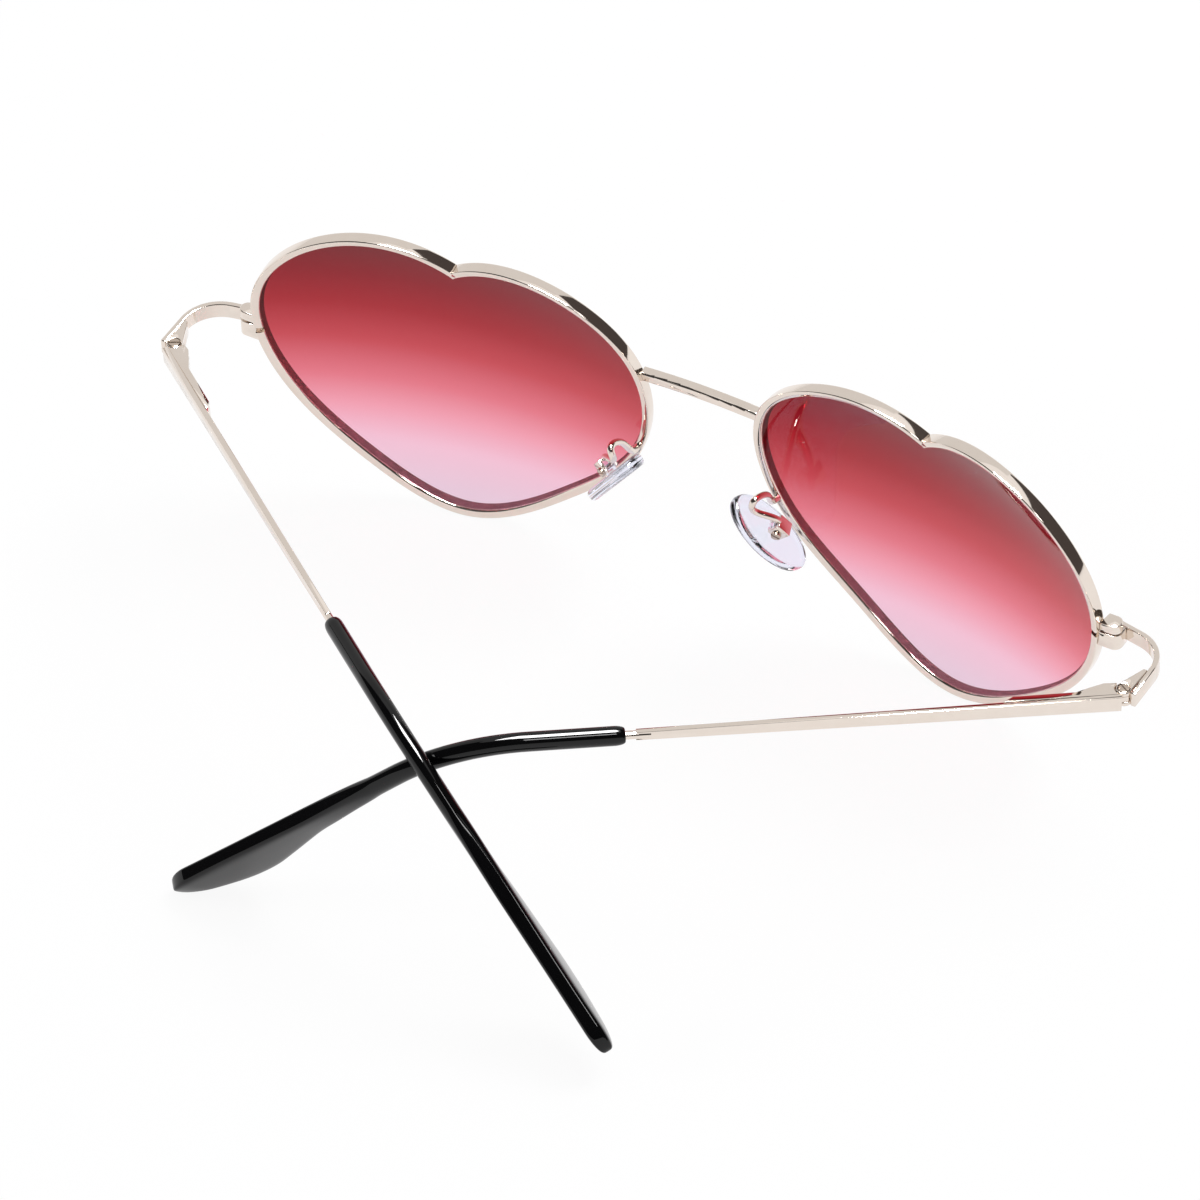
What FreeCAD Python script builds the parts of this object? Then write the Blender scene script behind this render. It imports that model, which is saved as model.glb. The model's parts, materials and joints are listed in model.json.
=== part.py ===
import FreeCAD, Part
import math
import os

Vector = FreeCAD.Vector
Rotation = FreeCAD.Rotation
Placement = FreeCAD.Placement

# Heart shaped sunglasses with screw-closed metal rims, standing on a surface with both arms
# half folded and crossed. Millimetres and degrees. +X is the wearer's left, the lenses face -Y,
# the arms run back to +Y and +Z is up.

doc = FreeCAD.newDocument("heart_sunglasses")

SIZES = {
    # Lenses: the opening of one rim, its place in the front and the curve of the lens
    "lens_width": 57.0,
    "lens_height": 49.6,
    "lens_spacing": 73.0,
    "lens_level": 26.5,
    "base_radius": 95.0,
    "wrap_angle": 7.8,
    "lean_angle": 4.0,
    "lens_thickness": 1.5,
    "lens_recess": 0.3,
    "bevel_width": 0.7,
    "bevel_depth": 0.4,
    "lens_clearance": 0.05,
    # Rims and what is brazed to them
    "rim_width": 1.05,
    "rim_depth": 2.1,
    "braze_gap": 0.02,
    "bridge_height": 1.5,
    "bridge_depth": 1.7,
    "bridge_level": 38.2,
    "bridge_setback": 0.1,
    "bridge_arch": 0.5,
    "bridge_edge": 0.35,
    # Closing blocks on the outer side of each rim
    "closing_level": 30.5,
    "closing_gap": 0.3,
    "block_radius": 1.15,
    "block_standoff": 0.35,
    "upper_block_height": 1.5,
    "lower_block_height": 2.5,
    "closing_screw_radius": 0.4,
    "closing_head_radius": 0.75,
    "closing_head_height": 0.45,
    "thread_clearance": 0.03,
    # End pieces and hinges
    "strip_thickness": 0.8,
    "strip_height": 2.4,
    "end_start_setback": 5.5,
    "end_corner_setback": 7.3,
    "end_bend_radius": 6.0,
    "hinge_overhang": 6.47,
    "hinge_setback": 17.35,
    "hinge_level": 29.2,
    "lug_length": 4.6,
    "knuckle_radius": 1.05,
    "knuckle_height": 0.9,
    "swing_gap": 0.1,
    "axial_gap": 0.05,
    "butt_setback": 0.5,
    "hinge_screw_radius": 0.55,
    "hinge_head_radius": 0.85,
    "hinge_head_height": 0.35,
    "running_clearance": 0.04,
    "slot_width": 0.25,
    "slot_depth": 0.15,
    # Arms and their tips
    "plate_length": 16.6,
    "shoulder_height": 1.4,
    "strip_length": 66.7,
    "core_radius": 0.6,
    "core_end_gap": 8.0,
    "sleeve_setback": 68.2,
    "bend_setback": 91.7,
    "bend_radius": 23.5,
    "tail_length": 53.3,
    "tail_drop": 43.4,
    "tail_inward": 22.0,
    "sleeve_width": 2.55,
    "sleeve_height": 2.9,
    "paddle_height": 8.3,
    "paddle_twist": 32.0,
    "core_clearance": 0.05,
    "left_fold": 51.3,
    "right_fold": 52.6,
    "left_rise": 5.75,
    "right_rise": 4.1,
    # Nose pads, their boxes and their arms
    "pad_length": 15.0,
    "pad_width": 8.0,
    "pad_thickness": 1.8,
    "pad_edge": 0.75,
    "pad_spacing": 24.2,
    "pad_setback": 4.3,
    "pad_level": 21.1,
    "pad_lean": 34.5,
    "pad_rake": 17.5,
    "pad_splay": 10.5,
    "boss_length": 1.7,
    "boss_width": 1.1,
    "boss_height": 1.8,
    "box_wall": 0.45,
    "box_height": 2.2,
    "box_side_gap": 0.1,
    "box_end_gap": 0.25,
    "pad_screw_radius": 0.4,
    "pad_head_radius": 0.7,
    "pad_head_height": 0.4,
    "pad_wire_radius": 0.5,
    "pad_wire_lead": 1.1,
    "overrun": 2.0,
}

# Heart outline in shares of the lens width and height from the lens centre: from the notch
# over the outer lobe and its flank to the tip, then up the nose side and over the inner lobe.
HEART_SHARES = [
    (0.017, 0.423),
    (0.329, 0.488),
    (0.509, 0.278),
    (0.483, -0.100),
    (0.297, -0.364),
    (0.048, -0.499),
    (-0.237, -0.335),
    (-0.422, -0.094),
    (-0.426, 0.324),
    (-0.243, 0.477),
]
OUTLINE_STEPS = 30

# Sections of an arm's tip: share of its length, share of the growth from sleeve to paddle
# height, share of the paddle's twist, and scale of the section at the two rounded ends.
TIP_SHARES = [
    (0.000, 0.00, 0.00, 0.66),
    (0.004, 0.00, 0.00, 0.82),
    (0.010, 0.00, 0.00, 0.93),
    (0.018, 0.00, 0.00, 0.98),
    (0.028, 0.00, 0.00, 1.00),
    (0.045, 0.00, 0.00, 1.00),
    (0.080, 0.00, 0.00, 1.00),
    (0.150, 0.00, 0.00, 1.00),
    (0.260, 0.00, 0.02, 1.00),
    (0.320, 0.01, 0.15, 1.00),
    (0.380, 0.02, 0.33, 1.00),
    (0.450, 0.04, 0.50, 1.00),
    (0.560, 0.14, 0.78, 1.00),
    (0.680, 0.50, 1.00, 1.00),
    (0.790, 0.86, 1.00, 1.00),
    (0.880, 1.00, 1.00, 1.00),
    (0.940, 0.92, 1.00, 0.98),
    (0.980, 0.50, 1.00, 0.88),
    (1.000, 0.00, 1.00, 0.46),
]
PADDLE_SAG_SHARE = 0.6

# Plan of the plate on an arm's hinge end: share of its length, share of the knuckle radius
# inward of the hinge axis. It narrows behind the knuckle and ends in a step to the strip.
PLATE_SHARES = [(0.00, 1.00), (0.16, 1.14), (0.28, 0.52), (0.40, -0.19), (0.92, -0.24)]

# Pad arm between rim and pad box in shares of the pad length, seen from the pad: back from
# its face, across it and along it.
PAD_ARM_SHARES = [
    (0.235, -0.113, 0.334),
    (0.227, 0.053, 0.453),
    (0.147, 0.053, 0.373),
    (0.173, 0.033, 0.240),
]
PAD_ARM_ROOT_SHARES = (-0.439, -0.046)

sheet = doc.addObject("Spreadsheet::Sheet", "sizes")
for row, (alias, number) in enumerate(SIZES.items(), start=1):
    sheet.set("A%d" % row, alias)
    sheet.set("B%d" % row, str(number))
    sheet.setAlias("B%d" % row, alias)
doc.recompute()


def size(alias):
    return float(getattr(sheet, alias))


def feature(name, shape):
    obj = doc.addObject("Part::Feature", name)
    obj.Shape = shape
    return obj


def primitive(kind, name, place, **formulas):
    obj = doc.addObject("Part::" + kind, name)
    for prop, formula in formulas.items():
        obj.setExpression(prop, formula)
    obj.Placement = place
    return obj


def at(x, y, z, rotation=Rotation()):
    return Placement(Vector(x, y, z), rotation)


def cut(name, base, tool):
    obj = doc.addObject("Part::Cut", name)
    obj.Base = base
    obj.Tool = tool
    return obj


def common(name, base, tool):
    obj = doc.addObject("Part::Common", name)
    obj.Base = base
    obj.Tool = tool
    return obj


def fuse(name, *shapes):
    obj = doc.addObject("Part::MultiFuse", name)
    obj.Shapes = list(shapes)
    obj.Refine = True
    return obj


def extrusion(name, profile, direction, length):
    obj = doc.addObject("Part::Extrusion", name)
    obj.Base = profile
    obj.DirMode = "Custom"
    obj.Dir = direction
    obj.setExpression("LengthFwd", length)
    obj.Solid = True
    return obj


def polygon(points):
    return Part.Face(Part.makePolygon(points + points[:1]))


def rounded_path(corners, radius):
    # Straight runs between the corners, joined by tangent arcs
    edges = []
    start = corners[0]
    for before, corner, after in zip(corners, corners[1:], corners[2:]):
        back = (before - corner).normalize()
        ahead = (after - corner).normalize()
        half = back.getAngle(ahead) / 2
        first = corner + back * (radius / math.tan(half))
        last = corner + ahead * (radius / math.tan(half))
        inward = (back + ahead).normalize()
        middle = corner + inward * (radius / math.sin(half) - radius)
        edges.append(Part.LineSegment(start, first).toShape())
        edges.append(Part.Arc(first, middle, last).toShape())
        start = last
    edges.append(Part.LineSegment(start, corners[-1]).toShape())
    return edges


def tube(name, edges, radius):
    path = feature(name + "_path", Part.Wire(edges))
    tangent = edges[0].tangentAt(edges[0].FirstParameter)
    start = Placement(edges[0].Vertexes[0].Point, Rotation(Vector(0, 0, 1), tangent))
    circle = primitive("Circle", name + "_section", start, Radius=radius)
    obj = doc.addObject("Part::Sweep", name)
    obj.Sections = [circle]
    obj.Spine = (path, ["Edge%d" % (number + 1) for number in range(len(edges))])
    obj.Solid = True
    return obj


nodes = []


def node(label, obj, place=None):
    obj.Label = label
    if place is not None:
        obj.Placement = place
    nodes.append(obj)
    return obj


mirrored = []


def mirror(label, source):
    obj = doc.addObject("Part::Mirroring", label)
    obj.Source = source
    obj.Normal = Vector(1, 0, 0)
    obj.Label = label
    mirrored.append(obj)
    return obj


overrun = size("overrun")

# Front: each lens frame has x across the lens towards the hinge, y back and z up. The left one
# is turned by the wrap angle and leans back with the whole front.
front = Placement(
    Vector(size("lens_spacing") / 2, 0, size("lens_level")),
    Rotation(Vector(1, 0, 0), -size("lean_angle")) * Rotation(Vector(0, 0, 1), size("wrap_angle")),
)


def heart(offset):
    # Heart outline moved outwards by the offset, with a mitred corner kept at the notch
    points = [Vector(size("lens_width") * u, 0, size("lens_height") * w) for u, w in HEART_SHARES]
    curve = Part.BSplineCurve()
    curve.interpolate(points + points[:1])
    first = curve.FirstParameter
    last = curve.LastParameter

    def outward(parameter):
        along = curve.tangent(parameter)[0]
        return Vector(-along.z, 0, along.x)

    ends = (outward(first), outward(last))
    mitre = (ends[0] + ends[1]) * (offset / (1 + ends[0].dot(ends[1])))
    steps = [first + (last - first) * step / OUTLINE_STEPS for step in range(1, OUTLINE_STEPS)]
    moved = [curve.value(step) + outward(step) * offset for step in steps]
    outline = Part.BSplineCurve()
    outline.interpolate([points[0] + mitre] + moved + [points[0] + mitre])
    half = outline.parameter(moved[OUTLINE_STEPS // 2])
    halves = [outline.toShape(outline.FirstParameter, half), outline.toShape(half, outline.LastParameter)]
    return Part.Wire(halves)


sag = size("base_radius") - math.sqrt(size("base_radius") ** 2 - (size("lens_width") / 2) ** 2)
prism_front = -size("rim_depth") - overrun
sheet_depth = "sizes.rim_depth + sizes.lens_width / 4 + 2 * sizes.overrun"


def heart_prism(name, offset):
    wire = heart(offset)
    wire.translate(Vector(0, prism_front, 0))
    return extrusion(name, feature(name + "_outline", Part.Face(wire)), Vector(0, 1, 0), sheet_depth)


def dome(name, proud):
    # Ball whose near side lies the given distance in front of the rims' rear faces
    radius = "sizes.base_radius + " + proud
    return primitive("Sphere", name, at(0, size("base_radius"), 0), Radius=radius)


def curved_sheet(name, prism, rear, proud):
    outer = common(name + "_outer", prism, dome(name + "_front_dome", proud))
    return cut(name, outer, dome(name + "_rear_dome", rear))


# Rims: a heart of flat wire on the lens curve, grooved inside for the lens and slit at the
# closing blocks, so that it opens to take the lens.
rim_prism = heart_prism("rim_prism", size("rim_width"))
opening_prism = heart_prism("opening_prism", 0)
rim_ring = cut("rim_ring", rim_prism, opening_prism)
rim_band = curved_sheet("rim_band", rim_ring, "0", "sizes.rim_depth")
bevel_rear = "sizes.lens_recess + (sizes.lens_thickness - sizes.bevel_width) / 2"
bevel_front = "sizes.lens_recess + (sizes.lens_thickness + sizes.bevel_width) / 2"
groove_prism = heart_prism("groove_prism", size("bevel_depth") + size("lens_clearance"))
groove = curved_sheet(
    "groove",
    groove_prism,
    bevel_rear + " - sizes.lens_clearance",
    bevel_front + " + sizes.lens_clearance",
)
rim_grooved = cut("rim_grooved", rim_band, groove)

# Outer side of the rim at the closing level, in the lens frame and in the front
block_side = heart(size("rim_width")).BoundBox.XMax + size("block_standoff") + size("block_radius")
block_depth = sag - size("rim_depth") / 2
block_seat = front.multVec(Vector(block_side, block_depth, size("closing_level") - size("lens_level")))
closing_top = size("closing_level") + size("closing_gap") / 2
closing_bottom = size("closing_level") - size("closing_gap") / 2

slit = primitive(
    "Box",
    "rim_slit",
    front.inverse() * at(block_seat.x - 2 * overrun, block_seat.y - 2 * overrun, closing_bottom),
    Length="4 * sizes.overrun",
    Width="4 * sizes.overrun",
    Height="sizes.closing_gap",
)
left_rim = node("left_rim", cut("left_rim", rim_grooved, slit), front)

# Lenses: tinted sheets on the base curve with a bevelled edge that sits in the rim's groove
lens_prism = heart_prism("lens_prism", -size("lens_clearance"))
lens_body = curved_sheet(
    "lens_body", lens_prism, "sizes.lens_recess", "sizes.lens_recess + sizes.lens_thickness"
)
bevel_prism = heart_prism("bevel_prism", size("bevel_depth"))
lens_bevel = curved_sheet("lens_bevel", bevel_prism, bevel_rear, bevel_front)
left_lens = node("left_lens", fuse("left_lens", lens_body, lens_bevel), front)

# Space that a rim fills, from which the pieces brazed to its outside are cut back
seat_prism = heart_prism("seat_prism", size("rim_width") + size("braze_gap"))
seat_prism.Placement = front
seat_mirror = doc.addObject("Part::Mirroring", "seat_mirror")
seat_mirror.Source = seat_prism
seat_mirror.Normal = Vector(1, 0, 0)

# Bridge: a flat bar with rounded edges and a slight arch, brazed between the rims
bridge_half = size("lens_spacing") / 2 - size("lens_width") / 2 + size("rim_width") + overrun
bridge_bottom = size("bridge_level") - size("bridge_height") / 2
bridge_top = size("bridge_level") + size("bridge_height") / 2
bridge_front = size("bridge_setback") - size("bridge_depth") / 2


def arch(level, reverse):
    ends = [Vector(-bridge_half, bridge_front, level), Vector(bridge_half, bridge_front, level)]
    crown = Vector(0, bridge_front, level + size("bridge_arch"))
    if reverse:
        ends.reverse()
    return Part.Arc(ends[0], crown, ends[1]).toShape()


def bridge_corner(side, level):
    return Vector(side * bridge_half, bridge_front, level)


bridge_edges = [
    arch(bridge_bottom, False),
    Part.makeLine(bridge_corner(1, bridge_bottom), bridge_corner(1, bridge_top)),
    arch(bridge_top, True),
    Part.makeLine(bridge_corner(-1, bridge_top), bridge_corner(-1, bridge_bottom)),
]
bridge_bar = extrusion(
    "bridge_bar",
    feature("bridge_profile", Part.Face(Part.Wire(bridge_edges))),
    Vector(0, 1, 0),
    "sizes.bridge_depth",
)
doc.recompute()
long_edges = [
    (number, size("bridge_edge"), size("bridge_edge"))
    for number, edge in enumerate(bridge_bar.Shape.Edges, start=1)
    if edge.Length > bridge_half
]
bridge_round = doc.addObject("Part::Fillet", "bridge_round")
bridge_round.Base = bridge_bar
bridge_round.Edges = long_edges
bridge = node("bridge", cut("bridge", cut("bridge_left_end", bridge_round, seat_prism), seat_mirror))

# End pieces: flat strip from the lower closing block, bent round to the hinge
hinge_x = block_seat.x + size("hinge_overhang")
hinge_y = size("hinge_setback")
hinge_z = size("hinge_level")
strip_inside = size("knuckle_radius") + size("swing_gap")
strip_outside = strip_inside + size("strip_thickness")
hinge_bottom = hinge_z - size("strip_height") / 2
end_start = Vector(block_seat.x - size("block_radius"), size("end_start_setback"), hinge_bottom)
end_corner = Vector(hinge_x + strip_outside, size("end_corner_setback"), hinge_bottom)
end_butt = hinge_y + size("butt_setback") - size("axial_gap")
end_finish = Vector(hinge_x + strip_outside, end_butt, hinge_bottom)


def bent_strip(corners, radius, thickness):
    # Plan of a strip of even thickness on the inner side of a bent path
    start, corner, finish = corners
    back = (start - corner).normalize()
    ahead = (finish - corner).normalize()
    inward = (back + ahead).normalize()
    half = back.getAngle(ahead) / 2
    inner_corner = corner + inward * (thickness / math.sin(half))
    inner_start = inner_corner + back * (back.dot(start - inner_corner))
    inner_finish = inner_corner + ahead * (ahead.dot(finish - inner_corner))
    outer = rounded_path(corners, radius)
    inner = rounded_path([inner_finish, inner_corner, inner_start], radius - thickness)
    ends = [Part.makeLine(finish, inner_finish), Part.makeLine(inner_start, start)]
    return Part.Face(Part.Wire(outer + ends[:1] + inner + ends[1:]))


end_corners = [end_start, end_corner, end_finish]
end_plan = bent_strip(end_corners, size("end_bend_radius"), size("strip_thickness"))
end_strip = extrusion("end_strip", feature("end_plan", end_plan), Vector(0, 0, 1), "sizes.strip_height")
left_end_piece = node("left_end_piece", end_strip)

# Closing blocks: rounded barrels brazed to the rim on both sides of its slit. The lower one
# reaches forward to the end piece, and a screw from below draws the two together.
block_back = block_seat.y
upper_barrel = primitive(
    "Cylinder",
    "upper_barrel",
    at(block_seat.x, block_back, closing_top),
    Radius="sizes.block_radius",
    Height="sizes.upper_block_height",
)
upper_web = primitive(
    "Box",
    "upper_web",
    at(block_seat.x - 2 * size("block_radius"), block_back - size("block_radius"), closing_top),
    Length="2 * sizes.block_radius",
    Width="2 * sizes.block_radius",
    Height="sizes.upper_block_height",
)
lower_level = closing_bottom - size("lower_block_height")
lower_barrel = primitive(
    "Cylinder",
    "lower_barrel",
    at(block_seat.x, block_back, lower_level),
    Radius="sizes.block_radius",
    Height="sizes.lower_block_height",
)
lower_web = primitive(
    "Box",
    "lower_web",
    at(block_seat.x - 2 * size("block_radius"), block_back - size("block_radius"), lower_level),
    Length="2 * sizes.block_radius",
    Width="2 * sizes.block_radius",
    Height="sizes.lower_block_height",
)
lower_foot = primitive(
    "Box",
    "lower_foot",
    at(block_seat.x - size("block_radius"), size("end_start_setback"), lower_level),
    Length="2 * sizes.block_radius",
    Width=str(block_back - size("end_start_setback")),
    Height="sizes.lower_block_height",
)
run = end_corner - end_start
run_angle = math.degrees(math.atan2(run.y, run.x))
strip_space = primitive(
    "Box",
    "strip_space",
    Placement(
        end_start + Vector(0, 0, -overrun),
        Rotation(Vector(0, 0, 1), run_angle),
    ) * at(-2 * overrun, size("strip_thickness") - 4 * overrun, 0),
    Length="8 * sizes.overrun",
    Width="4 * sizes.overrun",
    Height="sizes.strip_height + 4 * sizes.overrun",
)
screw_length = "sizes.lower_block_height + sizes.closing_gap + sizes.upper_block_height / 2"
screw_hole = primitive(
    "Cylinder",
    "closing_hole",
    at(block_seat.x, block_back, lower_level - overrun),
    Radius="sizes.closing_screw_radius + sizes.thread_clearance",
    Height=screw_length + " + sizes.overrun",
)
head_hole = primitive(
    "Cylinder",
    "closing_head_hole",
    at(block_seat.x, block_back, lower_level - overrun),
    Radius="sizes.closing_head_radius + sizes.thread_clearance",
    Height="sizes.closing_head_height + sizes.overrun",
)
upper_block = cut("upper_block_seat", fuse("upper_block_blank", upper_barrel, upper_web), seat_prism)
left_upper_block = node("left_closing_block_upper", cut("left_upper_block", upper_block, screw_hole))
lower_blank = fuse("lower_block_blank", lower_barrel, lower_web, lower_foot)
lower_block = cut("lower_block_seat", lower_blank, seat_prism)
lower_block_front = cut("lower_block_front", lower_block, strip_space)
left_lower_block = node(
    "left_closing_block_lower",
    cut("left_lower_block", cut("lower_block_bore", lower_block_front, screw_hole), head_hole),
)
closing_head = primitive(
    "Cylinder",
    "closing_head",
    at(block_seat.x, block_back, lower_level),
    Radius="sizes.closing_head_radius",
    Height="sizes.closing_head_height - sizes.thread_clearance",
)
closing_shank = primitive(
    "Cylinder",
    "closing_shank",
    at(block_seat.x, block_back, lower_level),
    Radius="sizes.closing_screw_radius",
    Height=screw_length + " - sizes.thread_clearance",
)
left_closing_screw = node("left_closing_screw", fuse("left_closing_screw", closing_head, closing_shank))

# Front half of each hinge: two lugs on the end piece with a slot for the arm's knuckle
axis = at(hinge_x, hinge_y, hinge_bottom)
lug_foot = Vector(strip_inside / 2, -size("lug_length"), 0)
touch_angle = math.atan2(lug_foot.y, lug_foot.x) - math.acos(strip_inside / lug_foot.Length)
lug_plan = [
    Vector(strip_inside, -size("lug_length"), 0),
    lug_foot,
    Vector(math.cos(touch_angle), math.sin(touch_angle), 0) * strip_inside,
    Vector(0, 0, 0),
    Vector(strip_inside, 0, 0),
]
lug_face = feature("lug_plan", polygon(lug_plan))
lug_block = extrusion("lug_block", lug_face, Vector(0, 0, 1), "sizes.strip_height")
lug_round = primitive(
    "Cylinder",
    "lug_round",
    at(0, 0, 0),
    Radius="sizes.knuckle_radius + sizes.swing_gap",
    Height="sizes.strip_height",
)
slot_bottom = size("strip_height") / 2 - size("knuckle_height") / 2 - size("axial_gap")
lug_slot = primitive(
    "Box",
    "lug_slot",
    at(-2 * overrun, -size("knuckle_radius") - size("swing_gap"), slot_bottom),
    Length="4 * sizes.overrun",
    Width="4 * sizes.overrun",
    Height="sizes.knuckle_height + 2 * sizes.axial_gap",
)
lug_hole = primitive(
    "Cylinder",
    "lug_hole",
    at(0, 0, -overrun),
    Radius="sizes.hinge_screw_radius + sizes.thread_clearance",
    Height="sizes.strip_height + 2 * sizes.overrun",
)
lug_recess = primitive(
    "Cylinder",
    "lug_recess",
    at(0, 0, size("strip_height") - size("hinge_head_height")),
    Radius="sizes.hinge_head_radius + sizes.thread_clearance",
    Height="sizes.hinge_head_height + sizes.overrun",
)
lugs = cut("lugs", fuse("lug_blank", lug_block, lug_round), lug_slot)
left_hinge_front = node(
    "left_hinge_front", cut("left_hinge_front", cut("lug_bore", lugs, lug_hole), lug_recess), axis
)

# Hinge screw: slotted round head sunk in the upper lug, shank through to the lower one
head_bottom = size("strip_height") - size("hinge_head_height") + size("thread_clearance")
hinge_shank = primitive(
    "Cylinder",
    "hinge_shank",
    at(0, 0, 0),
    Radius="sizes.hinge_screw_radius",
    Height="sizes.strip_height - sizes.hinge_head_height / 2",
)
hinge_head = primitive(
    "Cylinder",
    "hinge_head",
    at(0, 0, head_bottom),
    Radius="sizes.hinge_head_radius",
    Height="sizes.hinge_head_height",
)
driver_slot = primitive(
    "Box",
    "driver_slot",
    at(-overrun, -size("slot_width") / 2, head_bottom + size("hinge_head_height") - size("slot_depth")),
    Length="2 * sizes.overrun",
    Width="sizes.slot_width",
    Height="sizes.slot_depth + sizes.overrun",
)
left_hinge_screw = node(
    "left_hinge_screw",
    cut("left_hinge_screw", fuse("hinge_screw_blank", hinge_shank, hinge_head), driver_slot),
    axis,
)

# Arms, seen from the hinge axis at mid height: x outwards, y along the arm when open, z up
strip_middle = (strip_inside + strip_outside) / 2
strip_start = size("butt_setback") + size("swing_gap")
half_height = size("strip_height") / 2
half_shoulder = size("shoulder_height") / 2
drop = math.radians(size("tail_drop"))
inward = math.radians(size("tail_inward"))
bend_point = Vector(strip_middle, size("bend_setback"), 0)
tail = Vector(-math.sin(inward) * math.cos(drop), math.cos(inward) * math.cos(drop), -math.sin(drop))


def arm_path(start_reach, end_gap):
    start = Vector(strip_middle, start_reach, 0)
    finish = bend_point + tail * (size("tail_length") - end_gap)
    return rounded_path([start, bend_point, finish], size("bend_radius"))


def place_on(edges, distance):
    # Point and direction at a distance along joined edges
    for edge in edges:
        if distance <= edge.Length:
            parameter = edge.getParameterByLength(distance)
            return edge.valueAt(parameter), edge.tangentAt(parameter)
        distance -= edge.Length
    last = edges[-1]
    return last.valueAt(last.LastParameter), last.tangentAt(last.LastParameter)


def build_arm(side, fold, rise):
    # Strip with a tapered back half, drawn down to a round core that runs inside the tip
    lift = Rotation(Vector(1, 0, 0), rise)
    hinge = at(hinge_x, hinge_y, hinge_z, Rotation(Vector(0, 0, 1), fold))
    profile = polygon([
        Vector(strip_inside, strip_start, -half_height),
        Vector(strip_inside, size("plate_length"), -half_height),
        Vector(strip_inside, size("strip_length"), -half_shoulder),
        Vector(strip_inside, size("strip_length"), half_shoulder),
        Vector(strip_inside, size("plate_length"), half_height),
        Vector(strip_inside, strip_start, half_height),
    ])
    strip_side = feature(side + "_strip_side", profile)
    strip = extrusion(side + "_strip", strip_side, Vector(1, 0, 0), "sizes.strip_thickness")
    core_start = size("strip_length") - overrun
    core = tube(side + "_core", arm_path(core_start, size("core_end_gap")), "sizes.core_radius")
    arm = fuse(side + "_arm_solid", strip, core)
    arm.Placement = hinge * Placement(Vector(), lift)

    # Plate brazed on the strip's inner face, with the knuckle that turns between the lugs
    plan = [
        Vector(-share * size("knuckle_radius"), reach * size("plate_length"), -half_height)
        for reach, share in PLATE_SHARES
    ]
    plan += [
        Vector(strip_inside, size("plate_length"), -half_height),
        Vector(strip_inside, strip_start, -half_height),
        Vector(size("knuckle_radius"), strip_start, -half_height),
        Vector(size("knuckle_radius"), 0, -half_height),
    ]
    plate_plan = feature(side + "_plate_plan", polygon(plan))
    plate = extrusion(side + "_plate", plate_plan, Vector(0, 0, 1), "sizes.strip_height")
    plate.Placement = Placement(Vector(), lift)
    lug_space = "sizes.knuckle_radius + 3 * sizes.swing_gap"
    knuckle_top = size("knuckle_height") / 2
    above = primitive(
        "Cylinder",
        side + "_upper_space",
        at(0, 0, knuckle_top),
        Radius=lug_space,
        Height="sizes.strip_height",
    )
    below = primitive(
        "Cylinder",
        side + "_lower_space",
        at(0, 0, -knuckle_top - size("strip_height")),
        Radius=lug_space,
        Height="sizes.strip_height",
    )
    knuckle = primitive(
        "Cylinder",
        side + "_knuckle",
        at(0, 0, -knuckle_top),
        Radius="sizes.knuckle_radius",
        Height="sizes.knuckle_height",
    )
    bore = primitive(
        "Cylinder",
        side + "_knuckle_bore",
        at(0, 0, -half_height - overrun),
        Radius="sizes.hinge_screw_radius + sizes.running_clearance",
        Height="sizes.strip_height + 2 * sizes.overrun",
    )
    relieved = cut(side + "_plate_lower", cut(side + "_plate_upper", plate, above), below)
    leaf = cut(side + "_leaf", fuse(side + "_leaf_blank", relieved, knuckle), bore)
    leaf.Placement = hinge

    # Tip: a black sleeve that runs straight, bends behind the ear and widens to a paddle
    edges = arm_path(size("sleeve_setback"), 0)
    length = sum(edge.Length for edge in edges)
    growth = size("paddle_height") - size("sleeve_height")
    sections = []
    for number, (reach, grown, turned, scale) in enumerate(TIP_SHARES):
        point, along = place_on(edges, reach * length)
        twist = Rotation(along, turned * size("paddle_twist"))
        across = twist.multVec(along.cross(Vector(0, 0, 1)).normalize())
        up = across.cross(along).normalize()
        height = (size("sleeve_height") + growth * grown) * scale
        centre = point - up * (growth * grown * PADDLE_SAG_SHARE / 2)
        flank = centre + across * (size("sleeve_width") * scale / 2)
        ellipse = Part.Ellipse(centre + up * (height / 2), flank, centre)
        halves = [ellipse.toShape(0, math.pi), ellipse.toShape(math.pi, 2 * math.pi)]
        sections.append(feature("%s_tip_section_%d" % (side, number), Part.Wire(halves)))
    sleeve = doc.addObject("Part::Loft", side + "_sleeve")
    sleeve.Sections = sections
    sleeve.Solid = True
    core_space = tube(
        side + "_core_space",
        arm_path(size("strip_length"), size("core_end_gap") - size("core_radius")),
        "sizes.core_radius + sizes.core_clearance",
    )
    tip = cut(side + "_tip_solid", sleeve, core_space)
    tip.Placement = hinge * Placement(Vector(), lift)
    return arm, leaf, tip


left_arm, left_leaf, left_tip = build_arm("left", size("left_fold"), size("left_rise"))
right_arm, right_leaf, right_tip = build_arm("right", size("right_fold"), size("right_rise"))
node("left_arm", left_arm)
node("left_hinge_leaf", left_leaf)
node("left_arm_tip", left_tip)

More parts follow.
